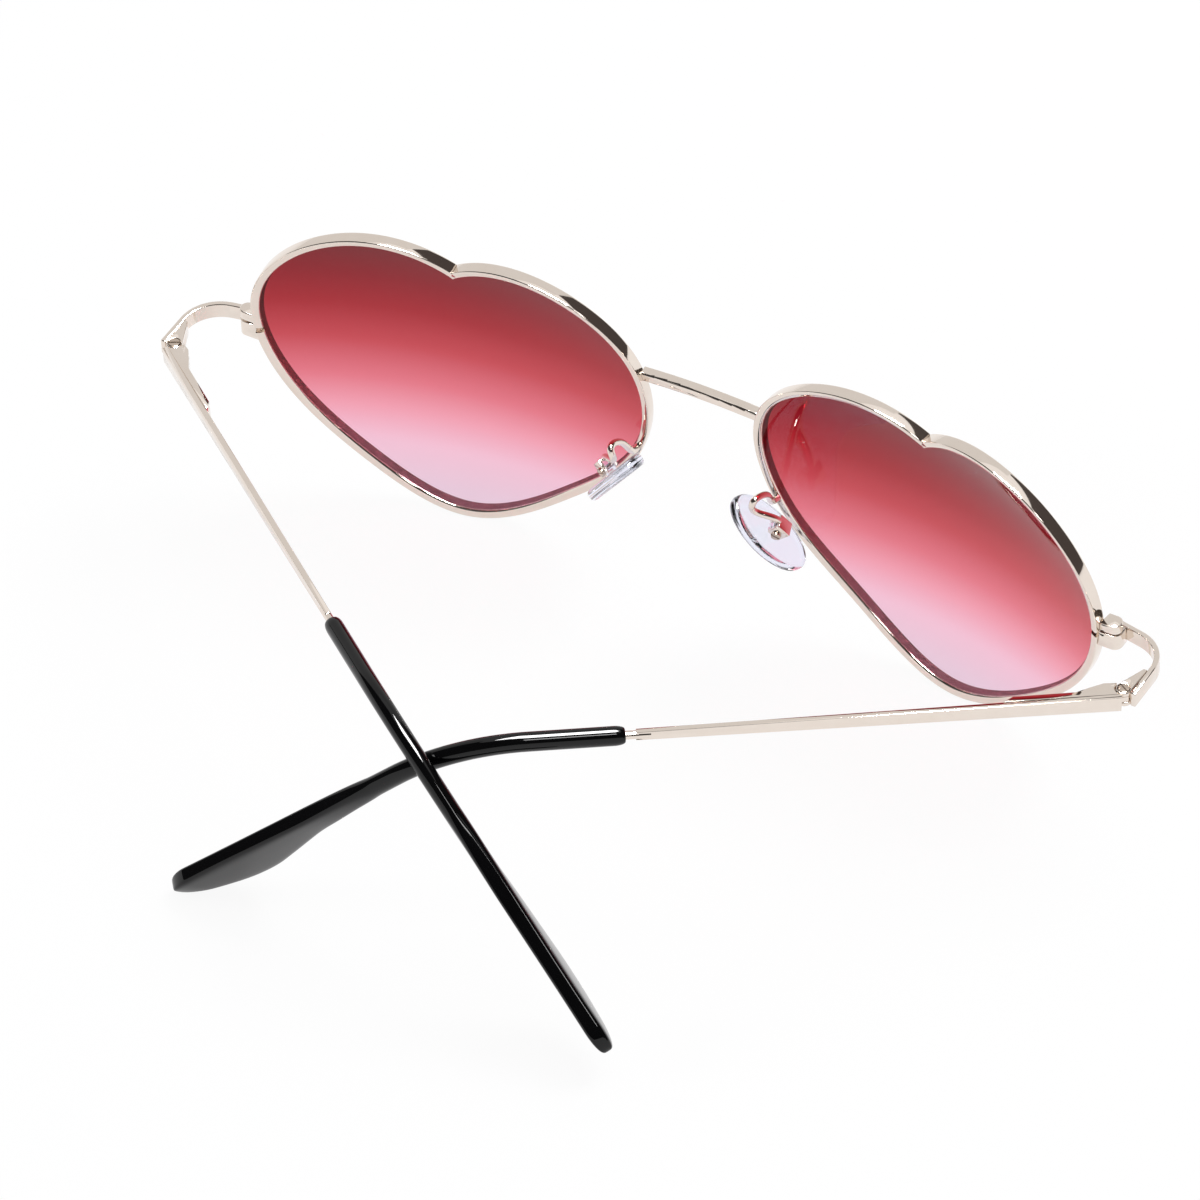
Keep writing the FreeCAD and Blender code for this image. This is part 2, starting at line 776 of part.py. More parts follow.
# Nose pads: x back from the pad's face, y across and z along the pad
pad_turn = (
    Rotation(Vector(0, 1, 0), -size("pad_lean"))
    * Rotation(Vector(1, 0, 0), -size("pad_rake"))
    * Rotation(Vector(0, 0, 1), -size("pad_splay"))
)
pad_place = Placement(Vector(size("pad_spacing") / 2, size("pad_setback"), size("pad_level")), pad_turn)
half_pad = size("pad_thickness") / 2
oval = primitive(
    "Ellipse",
    "pad_oval",
    at(-half_pad, 0, 0, Rotation(Vector(0, 0, 1), Vector(0, 1, 0), Vector(1, 0, 0), "ZXY")),
    MajorRadius="sizes.pad_length / 2",
    MinorRadius="sizes.pad_width / 2",
)
pad_plate = extrusion("pad_plate", oval, Vector(1, 0, 0), "sizes.pad_thickness")
doc.recompute()
pad_round = doc.addObject("Part::Fillet", "pad_round")
pad_round.Base = pad_plate
pad_round.Edges = [
    (number, size("pad_edge"), size("pad_edge"))
    for number, edge in enumerate(pad_plate.Shape.Edges, start=1)
    if edge.isClosed()
]
boss = primitive(
    "Box",
    "pad_boss",
    at(0, -size("boss_width") / 2, -size("boss_height") / 2),
    Length="sizes.pad_thickness / 2 + sizes.boss_length",
    Width="sizes.boss_width",
    Height="sizes.boss_height",
)
pivot_back = half_pad + size("boss_length") / 2
across_turn = Rotation(Vector(0, 0, 1), Vector(0, 1, 0))
pad_bore = primitive(
    "Cylinder",
    "pad_bore",
    at(pivot_back, -overrun, 0, across_turn),
    Radius="sizes.pad_screw_radius + sizes.running_clearance",
    Height="2 * sizes.overrun",
)
left_nose_pad = node(
    "left_nose_pad", cut("left_nose_pad", fuse("pad_blank", pad_round, boss), pad_bore), pad_place
)

# Pad box: a folded clip round the pad's boss, with the pad screw across it
box_inside = size("boss_width") / 2 + size("box_side_gap")
box_outside = box_inside + size("box_wall")
box_front = half_pad + size("box_end_gap")
box_floor = half_pad + size("boss_length") + size("box_end_gap")
clip_blank = primitive(
    "Box",
    "clip_blank",
    at(box_front, -box_outside, -size("box_height") / 2),
    Length="sizes.boss_length + sizes.box_wall",
    Width="sizes.boss_width + 2 * sizes.box_side_gap + 2 * sizes.box_wall",
    Height="sizes.box_height",
)
clip_space = primitive(
    "Box",
    "clip_space",
    at(box_front - overrun, -box_inside, -size("box_height")),
    Length="sizes.boss_length + sizes.overrun",
    Width="sizes.boss_width + 2 * sizes.box_side_gap",
    Height="2 * sizes.box_height",
)
clip_hole = primitive(
    "Cylinder",
    "clip_hole",
    at(pivot_back, -overrun, 0, across_turn),
    Radius="sizes.pad_screw_radius + sizes.thread_clearance",
    Height="2 * sizes.overrun",
)
clip = cut("clip", clip_blank, clip_space)
left_pad_box = node("left_pad_box", cut("left_pad_box", clip, clip_hole), pad_place)
pad_shank = primitive(
    "Cylinder",
    "pad_shank",
    at(pivot_back, -box_outside, 0, across_turn),
    Radius="sizes.pad_screw_radius",
    Height="sizes.boss_width + 2 * sizes.box_side_gap + 2 * sizes.box_wall",
)
pad_head = primitive(
    "Cylinder",
    "pad_head",
    at(pivot_back, box_outside, 0, across_turn),
    Radius="sizes.pad_head_radius",
    Height="sizes.pad_head_height",
)
left_pad_screw = node("left_pad_screw", fuse("left_pad_screw", pad_shank, pad_head), pad_place)

# Pad arm: a wire from the rim's rear face, looped back and down to the top of the pad box
root_u, root_w = [share * size("lens_width") for share in PAD_ARM_ROOT_SHARES]
root_sag = size("base_radius") - math.sqrt(size("base_radius") ** 2 - root_u ** 2 - root_w ** 2)
wire_corners = [
    front.multVec(Vector(root_u, root_sag - size("rim_depth") / 2, root_w)),
    front.multVec(Vector(root_u, root_sag + size("pad_wire_lead"), root_w)),
]
for back, side, along in PAD_ARM_SHARES:
    wire_corners.append(pad_place.multVec(Vector(back, side, along) * size("pad_length")))
box_top = Vector(box_floor + size("box_wall") / 2, 0, size("box_height") / 2)
wire_corners.append(pad_place.multVec(box_top))
wire_curve = Part.BSplineCurve()
wire_curve.interpolate(wire_corners)
pad_wire = tube("pad_wire", [wire_curve.toShape()], "sizes.pad_wire_radius")
rim_rear = dome("rim_rear_dome", "- sizes.braze_gap")
rim_rear.Placement = front * rim_rear.Placement
box_space = primitive(
    "Box",
    "box_space",
    pad_place * at(0, -overrun, -2 * overrun),
    Length="4 * sizes.overrun",
    Width="2 * sizes.overrun",
    Height="2 * sizes.overrun + sizes.box_height / 2",
)
trimmed_wire = common("pad_wire_root", pad_wire, rim_rear)
left_pad_arm = node("left_pad_arm", cut("left_pad_arm", trimmed_wire, box_space))

# Right side: the mirror image of the left, with its own fold and rise of the arm
for source in list(nodes):
    if source.Label.startswith("left_") and source not in (left_arm, left_leaf, left_tip):
        mirror(source.Label.replace("left_", "right_", 1), source)
mirror("right_arm", right_arm)
mirror("right_hinge_leaf", right_leaf)
mirror("right_arm_tip", right_tip)
doc.recompute()

# The origin lies under the middle of the whole part, on the surface that it stands on
box = FreeCAD.BoundBox()
for obj in nodes + mirrored:
    box.add(obj.Shape.optimalBoundingBox(False, False))
stand = Vector(0, -(box.YMin + box.YMax) / 2, -box.ZMin)
for obj in nodes + [right_arm, right_leaf, right_tip]:
    obj.Placement = Placement(stand, Rotation()) * obj.Placement
doc.recompute()

for obj in doc.Objects:
    if "Invalid" in obj.State or "Error" in obj.State:
        raise RuntimeError("%s failed: %s" % (obj.Label, obj.State))
for obj in nodes + mirrored:
    if obj.Shape.isNull() or not obj.Shape.isValid() or len(obj.Shape.Solids) != 1:
        raise RuntimeError("%s is not one valid solid" % obj.Label)

os.makedirs("parts", exist_ok=True)
for obj in nodes + mirrored:
    obj.Shape.exportStep("parts/%s.step" % obj.Label)
    print("%-26s volume %9.3f" % (obj.Label, obj.Shape.Volume))

hinge_axis = Vector(hinge_x, hinge_y, hinge_z) + stand
pad_pivot = pad_place.multVec(Vector(pivot_back, 0, 0)) + stand
pad_axis = pad_turn.multVec(Vector(0, 1, 0))
print("origin moved by", stand)
print("left hinge", hinge_axis, "left pad pivot", pad_pivot, "axis", pad_axis)
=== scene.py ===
import bpy
import json
import math
import numpy as np
from mathutils import Matrix, Vector


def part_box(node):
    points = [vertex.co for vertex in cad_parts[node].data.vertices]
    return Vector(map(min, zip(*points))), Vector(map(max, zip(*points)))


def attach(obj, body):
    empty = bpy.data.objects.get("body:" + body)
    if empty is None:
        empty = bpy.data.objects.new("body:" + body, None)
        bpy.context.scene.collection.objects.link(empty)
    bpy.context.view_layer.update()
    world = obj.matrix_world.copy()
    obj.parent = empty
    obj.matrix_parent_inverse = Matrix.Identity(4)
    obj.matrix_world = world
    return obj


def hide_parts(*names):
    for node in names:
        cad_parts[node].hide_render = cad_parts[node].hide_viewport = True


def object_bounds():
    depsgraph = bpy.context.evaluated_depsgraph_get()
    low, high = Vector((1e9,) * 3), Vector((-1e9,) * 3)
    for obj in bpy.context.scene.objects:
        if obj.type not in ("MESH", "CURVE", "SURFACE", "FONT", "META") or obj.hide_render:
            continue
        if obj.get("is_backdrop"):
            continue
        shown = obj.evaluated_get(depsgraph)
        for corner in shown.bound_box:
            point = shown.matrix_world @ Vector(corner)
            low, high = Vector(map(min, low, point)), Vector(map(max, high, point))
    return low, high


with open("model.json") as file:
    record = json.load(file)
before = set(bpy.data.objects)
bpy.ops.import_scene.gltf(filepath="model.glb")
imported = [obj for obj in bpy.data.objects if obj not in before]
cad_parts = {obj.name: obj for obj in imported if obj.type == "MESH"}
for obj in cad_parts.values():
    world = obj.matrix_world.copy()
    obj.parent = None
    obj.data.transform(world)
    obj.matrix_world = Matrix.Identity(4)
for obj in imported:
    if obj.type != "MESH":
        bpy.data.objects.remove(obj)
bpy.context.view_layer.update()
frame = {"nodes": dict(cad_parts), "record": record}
nodes = frame["nodes"]

# Rims: each is one length of flat nickel alloy wire, bent to a heart on the curve of the lens and
# parted at its outer side, where two blocks close it. It is polished, which rounds its edges, and
# plated pale gold.
SIDES = {"left": 1, "right": -1}
HEART_SHARES = (
    (0.017, 0.423),
    (0.329, 0.488),
    (0.509, 0.278),
    (0.483, -0.100),
    (0.297, -0.364),
    (0.048, -0.499),
    (-0.237, -0.335),
    (-0.422, -0.094),
    (-0.426, 0.324),
    (-0.243, 0.477),
)
LENS_WIDTH, LENS_HEIGHT = 0.057, 0.0496
LENS_CURVE_RADIUS = 0.095
LENS_CENTRE = (0.0365, -0.0434406, 0.0260146)
WRAP, LEAN = math.radians(7.8), math.radians(-4.0)
WIRE_WIDTH, WIRE_DEPTH, WIRE_EDGE, WIRE_LIP = 0.00122, 0.00208, 0.00028, 0.00017
WIRE_STEPS, WIRE_EDGE_STEPS = 360, 4
CLOSING_LEVEL, CLOSING_GAP = 0.0300146, 0.0003
OUTER_SIDE = 0.02
NUMBER, VECTOR, TURN = "NodeSocketFloat", "NodeSocketVector", "NodeSocketRotation"
GEOMETRY, MATERIAL = "NodeSocketGeometry", "NodeSocketMaterial"
WAVE_SCALE, WAVE_DEPTH = 60.0, 0.001
GOLD_TONES = (0.83, 0.75, 0.68), (0.78, 0.69, 0.61)


def put(tree, kind, sources=None, **settings):
    # One node with its settings, and each named or numbered input set or linked
    item = tree.nodes.new(kind)
    for key, value in settings.items():
        setattr(item, key, value)
    for key, source in (sources or {}).items():
        if isinstance(source, bpy.types.NodeSocket):
            tree.links.new(source, item.inputs[key])
        else:
            item.inputs[key].default_value = source
    return item


def new_group(name, kind, inputs, outputs):
    # A node group, with the sockets that its inside reads from and writes to
    group = bpy.data.node_groups.new(name, kind)
    for label, socket, value in inputs:
        made = group.interface.new_socket(label, in_out="INPUT", socket_type=socket)
        if value is not None:
            made.default_value = value
    for label, socket in outputs:
        group.interface.new_socket(label, in_out="OUTPUT", socket_type=socket)
    return group, group.nodes.new("NodeGroupInput").outputs, group.nodes.new("NodeGroupOutput").inputs


polish, marks_in, marks_out = new_group(
    "polish_marks",
    "ShaderNodeTree",
    [("Scale", NUMBER, 400.0), ("Low", NUMBER, 0.05), ("High", NUMBER, 0.15)],
    [("Roughness", NUMBER), ("Cloud", NUMBER), ("Wave", NUMBER)],
)
spot = put(polish, "ShaderNodeTexCoord").outputs["Object"]
fine = put(polish, "ShaderNodeTexNoise", {"Vector": spot, "Scale": marks_in["Scale"], "Detail": 5.0})
broad = put(polish, "ShaderNodeTexNoise", {"Vector": spot, "Scale": WAVE_SCALE, "Detail": 1.0})
spread = put(
    polish,
    "ShaderNodeMapRange",
    {
        "Value": fine.outputs["Fac"],
        "From Min": 0.3,
        "From Max": 0.7,
        "To Min": marks_in["Low"],
        "To Max": marks_in["High"],
    },
)
polish.links.new(spread.outputs["Result"], marks_out["Roughness"])
polish.links.new(fine.outputs["Fac"], marks_out["Cloud"])
polish.links.new(broad.outputs["Fac"], marks_out["Wave"])


def new_material(name):
    material = bpy.data.materials.new(name)
    material.use_nodes = True
    tree = material.node_tree
    return material, tree, tree.nodes["Principled BSDF"].inputs


def add_polish(tree, shader, scale, low, high, wave=0.0):
    # Uneven gloss between two roughnesses and, where asked for, a slight waviness
    marks = put(tree, "ShaderNodeGroup", node_tree=polish)
    marks.inputs["Scale"].default_value = scale
    marks.inputs["Low"].default_value = low
    marks.inputs["High"].default_value = high
    tree.links.new(marks.outputs["Roughness"], shader["Roughness"])
    if wave:
        bump = put(
            tree,
            "ShaderNodeBump",
            {"Height": marks.outputs["Wave"], "Strength": wave, "Distance": WAVE_DEPTH},
        )
        tree.links.new(bump.outputs["Normal"], shader["Normal"])
    return marks


def two_tones(tree, shader, factor, first, second):
    tone = put(tree, "ShaderNodeMix", {"Factor": factor}, data_type="RGBA")
    tone.inputs["A"].default_value = first + (1.0,)
    tone.inputs["B"].default_value = second + (1.0,)
    tree.links.new(tone.outputs["Result"], shader["Base Color"])


gold, tree, shader = new_material("pale_gold_plating")
marks = add_polish(tree, shader, scale=420.0, low=0.03, high=0.08, wave=0.10)
two_tones(tree, shader, marks.outputs["Cloud"], *GOLD_TONES)
shader["Metallic"].default_value = 1.0


def smooth_curve(points):
    # Values along a smooth curve through the points, with even speed between them
    points = np.array(points, dtype=float)
    knots = np.concatenate([[0.0], np.cumsum(np.linalg.norm(np.diff(points, axis=0), axis=1))])
    gaps = np.diff(knots)
    slopes = np.diff(points, axis=0) / gaps[:, None]
    count = len(points)
    system = np.zeros((count, count))
    right = np.zeros(points.shape)
    for end, near in ((0, slice(0, 4)), (count - 1, slice(count - 4, count))):
        powers = np.vander(knots[near] - knots[end], 4, increasing=True)
        system[end, end] = 1.0
        right[end] = np.linalg.solve(powers, points[near])[1]
    for row in range(1, count - 1):
        system[row, row - 1] = gaps[row]
        system[row, row] = 2 * (gaps[row - 1] + gaps[row])
        system[row, row + 1] = gaps[row - 1]
        right[row] = 3 * (gaps[row] * slopes[row - 1] + gaps[row - 1] * slopes[row])
    speeds = np.linalg.solve(system, right)

    def along(share):
        place = share * knots[-1]
        span = min(max(int(np.searchsorted(knots, place)) - 1, 0), count - 2)
        gap = gaps[span]
        t = (place - knots[span]) / gap
        start, finish = points[span], points[span + 1]
        return (
            start * (2 * t ** 3 - 3 * t ** 2 + 1)
            + speeds[span] * gap * (t ** 3 - 2 * t ** 2 + t)
            + finish * (3 * t ** 2 - 2 * t ** 3)
            + speeds[span + 1] * gap * (t ** 3 - t ** 2)
        )

    return along


def heart_line(offset, steps):
    # Heart outline moved outwards by the offset, from the notch over the outer lobe and round
    corners = [(LENS_WIDTH * u, LENS_HEIGHT * w) for u, w in HEART_SHARES]
    along = smooth_curve(corners + corners[:1])
    nudge = 1e-5
    line = []
    for step in range(steps + 1):
        share = step / steps
        before, after = along(max(share - nudge, 0.0)), along(min(share + nudge, 1.0))
        run = (after - before) / np.linalg.norm(after - before)
        line.append(along(share) + offset * np.array([-run[1], run[0]]))
    line[0] = line[-1] = (line[0] + line[-1]) / 2
    return line


def line_mesh(name, points, closed=False):
    mesh = bpy.data.meshes.new(name)
    edges = [(number, number + 1) for number in range(len(points) - 1)]
    if closed:
        edges.append((len(points) - 1, 0))
    mesh.from_pydata([tuple(point) for point in points], edges, [])
    return mesh


def settle(piece):
    # The evaluated result becomes the piece's plain mesh
    graph = bpy.context.evaluated_depsgraph_get()
    mesh = bpy.data.meshes.new_from_object(piece.evaluated_get(graph), depsgraph=graph)
    piece.modifiers.clear()
    piece.data = mesh
    mesh.name = piece.name
    return piece


def grow(name, mesh, tree, values):
    piece = bpy.data.objects.new(name, mesh)
    bpy.context.scene.collection.objects.link(piece)
    modifier = piece.modifiers.new("shape", "NODES")
    modifier.node_group = tree
    for item in tree.interface.items_tree:
        if item.in_out == "INPUT" and item.name in values:
            modifier[item.identifier] = values[item.name]
    return settle(piece)


def stand_for(piece, node, body):
    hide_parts(node)
    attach(piece, body)


wire_tree, wire_in, wire_out = new_group(
    "heart_wire",
    "GeometryNodeTree",
    [
        ("Geometry", GEOMETRY, None),
        ("Wire Width", NUMBER, WIRE_WIDTH),
        ("Wire Depth", NUMBER, WIRE_DEPTH),
        ("Edge Radius", NUMBER, WIRE_EDGE),
        ("Lens Curve Radius", NUMBER, LENS_CURVE_RADIUS),
        ("Place", VECTOR, None),
        ("Turn", TURN, None),
        ("Plating", MATERIAL, None),
    ],
    [("Geometry", GEOMETRY)],
)
path = put(wire_tree, "GeometryNodeMeshToCurve", {"Mesh": wire_in["Geometry"]})
path = put(wire_tree, "GeometryNodeSetCurveNormal", {"Curve": path.outputs[0]}, mode="Z_UP")
section = put(
    wire_tree,
    "GeometryNodeCurvePrimitiveQuadrilateral",
    {"Width": wire_in["Wire Width"], "Height": wire_in["Wire Depth"]},
)
section = put(
    wire_tree,
    "GeometryNodeFilletCurve",
    {
        "Curve": section.outputs[0],
        "Count": WIRE_EDGE_STEPS,
        "Radius": wire_in["Edge Radius"],
        "Limit Radius": True,
    },
    mode="POLY",
)
swept = put(
    wire_tree,
    "GeometryNodeCurveToMesh",
    {"Curve": path.outputs[0], "Profile Curve": section.outputs[0], "Fill Caps": True},
)
flat = put(wire_tree, "GeometryNodeInputPosition").outputs[0]
flat = put(wire_tree, "ShaderNodeVectorMath", {0: flat, 1: (1.0, 1.0, 0.0)}, operation="MULTIPLY")
across = put(
    wire_tree,
    "ShaderNodeVectorMath",
    {0: flat.outputs[0], 1: flat.outputs[0]},
    operation="DOT_PRODUCT",
)
radius = wire_in["Lens Curve Radius"]
square = put(wire_tree, "ShaderNodeMath", {0: radius, 1: radius}, operation="MULTIPLY")
left_over = put(
    wire_tree,
    "ShaderNodeMath",
    {0: square.outputs[0], 1: across.outputs["Value"]},
    operation="SUBTRACT",
)
root = put(wire_tree, "ShaderNodeMath", {0: left_over.outputs[0]}, operation="SQRT")
rise = put(wire_tree, "ShaderNodeMath", {0: root.outputs[0], 1: radius}, operation="SUBTRACT")
rise = put(
    wire_tree,
    "ShaderNodeMath",
    {0: wire_in["Wire Depth"], 1: 0.5, 2: rise.outputs[0]},
    operation="MULTIPLY_ADD",
)
lift = put(wire_tree, "ShaderNodeCombineXYZ", {"Z": rise.outputs[0]})
bowed = put(wire_tree, "GeometryNodeSetPosition", {"Geometry": swept.outputs[0], "Offset": lift.outputs[0]})
placed = put(
    wire_tree,
    "GeometryNodeTransform",
    {"Geometry": bowed.outputs[0], "Translation": wire_in["Place"], "Rotation": wire_in["Turn"]},
)
soft = put(wire_tree, "GeometryNodeSetShadeSmooth", {"Geometry": placed.outputs[0]})
plain = put(wire_tree, "GeometryNodeRealizeInstances", {"Geometry": soft.outputs[0]})
plated = put(
    wire_tree,
    "GeometryNodeSetMaterial",
    {"Geometry": plain.outputs[0], "Material": wire_in["Plating"]},
)
wire_tree.links.new(plated.outputs[0], wire_out["Geometry"])

for side, hand in SIDES.items():
    turn = Matrix.Rotation(LEAN, 3, "X") @ Matrix.Rotation(hand * WRAP, 3, "Z")
    turn = turn @ Matrix.Rotation(math.pi / 2, 3, "X")
    place = Vector((hand * LENS_CENTRE[0], LENS_CENTRE[1], LENS_CENTRE[2]))
    outline = heart_line(WIRE_WIDTH / 2 - WIRE_LIP, WIRE_STEPS)[:-1]
    outline = [Vector((hand * x, y, 0.0)) for x, y in outline]
    levels = [(turn @ point + place).z for point in outline]
    below = next(
        number
        for number, (point, level) in enumerate(zip(outline, levels))
        if hand * point.x > OUTER_SIDE and level < CLOSING_LEVEL - CLOSING_GAP / 2
    )
    above = below - 1
    while levels[above] < CLOSING_LEVEL + CLOSING_GAP / 2:
        above -= 1
    rim = grow(
        side + "_heart_rim",
        line_mesh(side + "_heart_rim_line", outline[below:] + outline[:above + 1]),
        wire_tree,
        {"Place": place, "Turn": turn.to_euler(), "Plating": gold},
    )
    stand_for(rim, side + "_rim", "front")

# Lenses: curved plastic sheets dyed by slow dipping, so the tint runs from burgundy at the top
# to a pale rose at the bottom. The bevelled edge sits in the groove of the rim, so only the sheet
# inside the rim is drawn, with a dull ground band round it.
LENS_RECESS, LENS_THICKNESS, LENS_PLAY = 0.0003, 0.00149, 0.000005
LENS_RINGS, LENS_STEPS = 12, 240
SHARP_ANGLE = math.radians(40.0)
EDGE_TONES = (0.24, 0.085, 0.10), (0.17, 0.06, 0.07)
lens, tree, shader = new_material("dipped_rose_lens")
DIP_TONES = (
    (0.0030, (0.80, 0.59, 0.71)),
    (0.0100, (0.90, 0.54, 0.67)),
    (0.0155, (0.89, 0.36, 0.455)),
    (0.0210, (0.775, 0.19, 0.245)),
    (0.0285, (0.565, 0.068, 0.088)),
    (0.0360, (0.38, 0.020, 0.030)),
    (0.0430, (0.26, 0.006, 0.014)),
    (0.0500, (0.17, 0.003, 0.008)),
)
spot = put(tree, "ShaderNodeTexCoord").outputs["Object"]
level = put(tree, "ShaderNodeSeparateXYZ", {"Vector": spot}).outputs["Z"]
lowest, highest = DIP_TONES[0][0], DIP_TONES[-1][0]
height = put(tree, "ShaderNodeMapRange", {"Value": level, "From Min": lowest, "From Max": highest})
dip = put(tree, "ShaderNodeValToRGB", {"Fac": height.outputs["Result"]})
while len(dip.color_ramp.elements) < len(DIP_TONES):
    dip.color_ramp.elements.new(0.5)
for stop, (line, colour) in zip(dip.color_ramp.elements, DIP_TONES):
    stop.position = (line - lowest) / (highest - lowest)
    stop.color = colour + (1.0,)
tree.links.new(dip.outputs["Color"], shader["Base Color"])
shader["Transmission Weight"].default_value = 1.0
shader["Roughness"].default_value = 0.0
shader["IOR"].default_value = 1.24
lens_edge, tree, shader = new_material("ground_lens_edge")
marks = add_polish(tree, shader, scale=900.0, low=0.55, high=0.8)
two_tones(tree, shader, marks.outputs["Cloud"], *EDGE_TONES)


def lens_sheet(hand):
    # Rings of points from the rim to the middle, on the ball of the rear and of the front face
    outline = heart_line(-WIRE_LIP - LENS_PLAY, LENS_STEPS)[:-1]
    points, faces, ground = [], [], []
    turn = Matrix.Rotation(LEAN, 3, "X") @ Matrix.Rotation(WRAP, 3, "Z")
    for proud in (LENS_RECESS, LENS_RECESS + LENS_THICKNESS):
        for ring in range(LENS_RINGS, -1, -1):
            for x, z in outline if ring else [(0.0, 0.0)]:
                x, z = x * ring / LENS_RINGS, z * ring / LENS_RINGS
                ball = LENS_CURVE_RADIUS + proud
                y = LENS_CURVE_RADIUS - math.sqrt(ball ** 2 - x ** 2 - z ** 2)
                spot = turn @ Vector((x, y, z)) + Vector(LENS_CENTRE)
                points.append((hand * spot.x, spot.y, spot.z))
    sheet = len(points) // 2
    for step in range(LENS_STEPS):
        after = (step + 1) % LENS_STEPS
        for ring in range(LENS_RINGS - 1):
            near, far = ring * LENS_STEPS, (ring + 1) * LENS_STEPS
            corners = (near + step, near + after, far + after, far + step)
            faces.append(corners)
            faces.append(tuple(sheet + corner for corner in reversed(corners)))
        inner = (LENS_RINGS - 1) * LENS_STEPS
        faces.append((inner + step, inner + after, sheet - 1))
        faces.append((2 * sheet - 1, sheet + inner + after, sheet + inner + step))
        ground.append(len(faces))
        faces.append((after, step, sheet + step, sheet + after))
    if hand < 0:
        faces = [face[::-1] for face in faces]
    return points, faces, ground


for side, hand in SIDES.items():
    mesh = bpy.data.meshes.new(side + "_dipped_lens")
    points, faces, ground = lens_sheet(hand)
    mesh.from_pydata(points, [], faces)
    mesh.materials.append(lens)
    mesh.materials.append(lens_edge)
    for number in ground:
        mesh.polygons[number].material_index = 1
    mesh.shade_smooth()
    mesh.set_sharp_from_angle(angle=SHARP_ANGLE)
    piece = bpy.data.objects.new(side + "_dipped_lens", mesh)
    bpy.context.scene.collection.objects.link(piece)
    stand_for(piece, side + "_lens", "front")

# Bridge, closing blocks, end pieces and hinge fronts: cut and stamped from the same alloy, brazed
# to the rims, then tumbled, polished and plated with them, so every edge is slightly round.
POLISHED_EDGE, EDGE_STEPS, FACE_WEIGHT = 0.00014, 3, 60
WELD_DISTANCE = 1e-6
FLAT_ANGLE, EDGE_ANGLE = math.radians(1.0), math.radians(32.0)


def polished(node, edge, body, material):
    # A merged copy of the solid with its edges rounded by the polishing
    piece = bpy.data.objects.new("polished_" + node, nodes[node].data.copy())
    bpy.context.scene.collection.objects.link(piece)
    piece.data.materials.clear()
    piece.data.materials.append(material)
    weld = piece.modifiers.new("weld", "WELD")
    weld.merge_threshold = WELD_DISTANCE
    flats = piece.modifiers.new("flats", "DECIMATE")
    flats.decimate_type = "DISSOLVE"
    flats.angle_limit = FLAT_ANGLE
    rounding = piece.modifiers.new("rounding", "BEVEL")
    rounding.width = edge
    rounding.segments = EDGE_STEPS
    rounding.limit_method = "ANGLE"
    rounding.angle_limit = EDGE_ANGLE
    faces = piece.modifiers.new("faces", "WEIGHTED_NORMAL")
    faces.weight = FACE_WEIGHT
    settle(piece)
    piece.data.shade_smooth()
    stand_for(piece, node, body)


polished("bridge", POLISHED_EDGE, "front", gold)
for side in SIDES:
    for name in ("closing_block_upper", "closing_block_lower", "end_piece", "hinge_front"):
        polished("%s_%s" % (side, name), POLISHED_EDGE, "front", gold)

# Screws: turned pins with a slot sawn across the head, plated with the frame and a little rougher, with
# their colour painted darker as shade for the gap round each head.
# They close the rims, are the axles of the hinges and hold the nose pads.
HINGE_SCREW = dict(head_radius=0.00085, head_height=0.00035, shank_radius=0.00055, shank_length=0.00205)
CLOSING_SCREW = dict(head_radius=0.00075, head_height=0.00042, shank_radius=0.0004, shank_length=0.0031)
PAD_SCREW = dict(head_radius=0.0007, head_height=0.0004, shank_radius=0.0004, shank_length=0.0022)
HINGE_SLOT_TURN, CLOSING_SLOT_TURN, PAD_SLOT_TURN = 0.5, 0.9, 0.3
SLOT_WIDTH_SHARE, SLOT_DEPTH_SHARE = 0.3, 0.45
PAD_SCREW_REACH = 0.0011
# The half section is carried round a circle of almost no size
LATHE_STEPS, LATHE_RADIUS = 40, 1e-7
# Both tones are darker than the frame's: painted shade standing in for the shadow in the gap round each
# screw head
SCREW_TONES_PAINTED_SHADE = (0.62, 0.53, 0.45), (0.50, 0.41, 0.34)
screw_plating_painted_shade, tree, shader = new_material("screw_plating_painted_shade")
marks = add_polish(tree, shader, scale=900.0, low=0.10, high=0.22)
two_tones(tree, shader, marks.outputs["Cloud"], *SCREW_TONES_PAINTED_SHADE)
shader["Metallic"].default_value = 1.0
screw_tree, screw_in, screw_out = new_group(
    "slotted_screw",
    "GeometryNodeTree",
    [
        ("Geometry", GEOMETRY, None),
        ("Head Radius", NUMBER, None),
        ("Head Height", NUMBER, None),
        ("Slot Width", NUMBER, None),
        ("Slot Depth", NUMBER, None),
        ("Place", VECTOR, None),
        ("Turn", TURN, None),
        ("Plating", MATERIAL, None),
    ],
    [("Geometry", GEOMETRY)],
)
half = put(screw_tree, "GeometryNodeMeshToCurve", {"Mesh": screw_in["Geometry"]})
lathe = put(
    screw_tree,
    "GeometryNodeCurvePrimitiveCircle",
    {"Resolution": LATHE_STEPS, "Radius": LATHE_RADIUS},
)
lathe = put(screw_tree, "GeometryNodeSetCurveNormal", {"Curve": lathe.outputs[0]}, mode="Z_UP")
turned = put(
    screw_tree,
    "GeometryNodeCurveToMesh",
    {"Curve": lathe.outputs[0], "Profile Curve": half.outputs[0]},
)
turned = put(
    screw_tree,
    "GeometryNodeMergeByDistance",
    {"Geometry": turned.outputs[0], "Distance": WELD_DISTANCE},
)
saw_reach = put(screw_tree, "ShaderNodeMath", {0: screw_in["Head Radius"], 1: 3.0}, operation="MULTIPLY")
saw_depth = put(screw_tree, "ShaderNodeMath", {0: screw_in["Slot Depth"], 1: 2.0}, operation="MULTIPLY")
saw_size = put(
    screw_tree,
    "ShaderNodeCombineXYZ",
    {"X": saw_reach.outputs[0], "Y": screw_in["Slot Width"], "Z": saw_depth.outputs[0]},
)
saw = put(screw_tree, "GeometryNodeMeshCube", {"Size": saw_size.outputs[0]})
saw_level = put(screw_tree, "ShaderNodeCombineXYZ", {"Z": screw_in["Head Height"]})
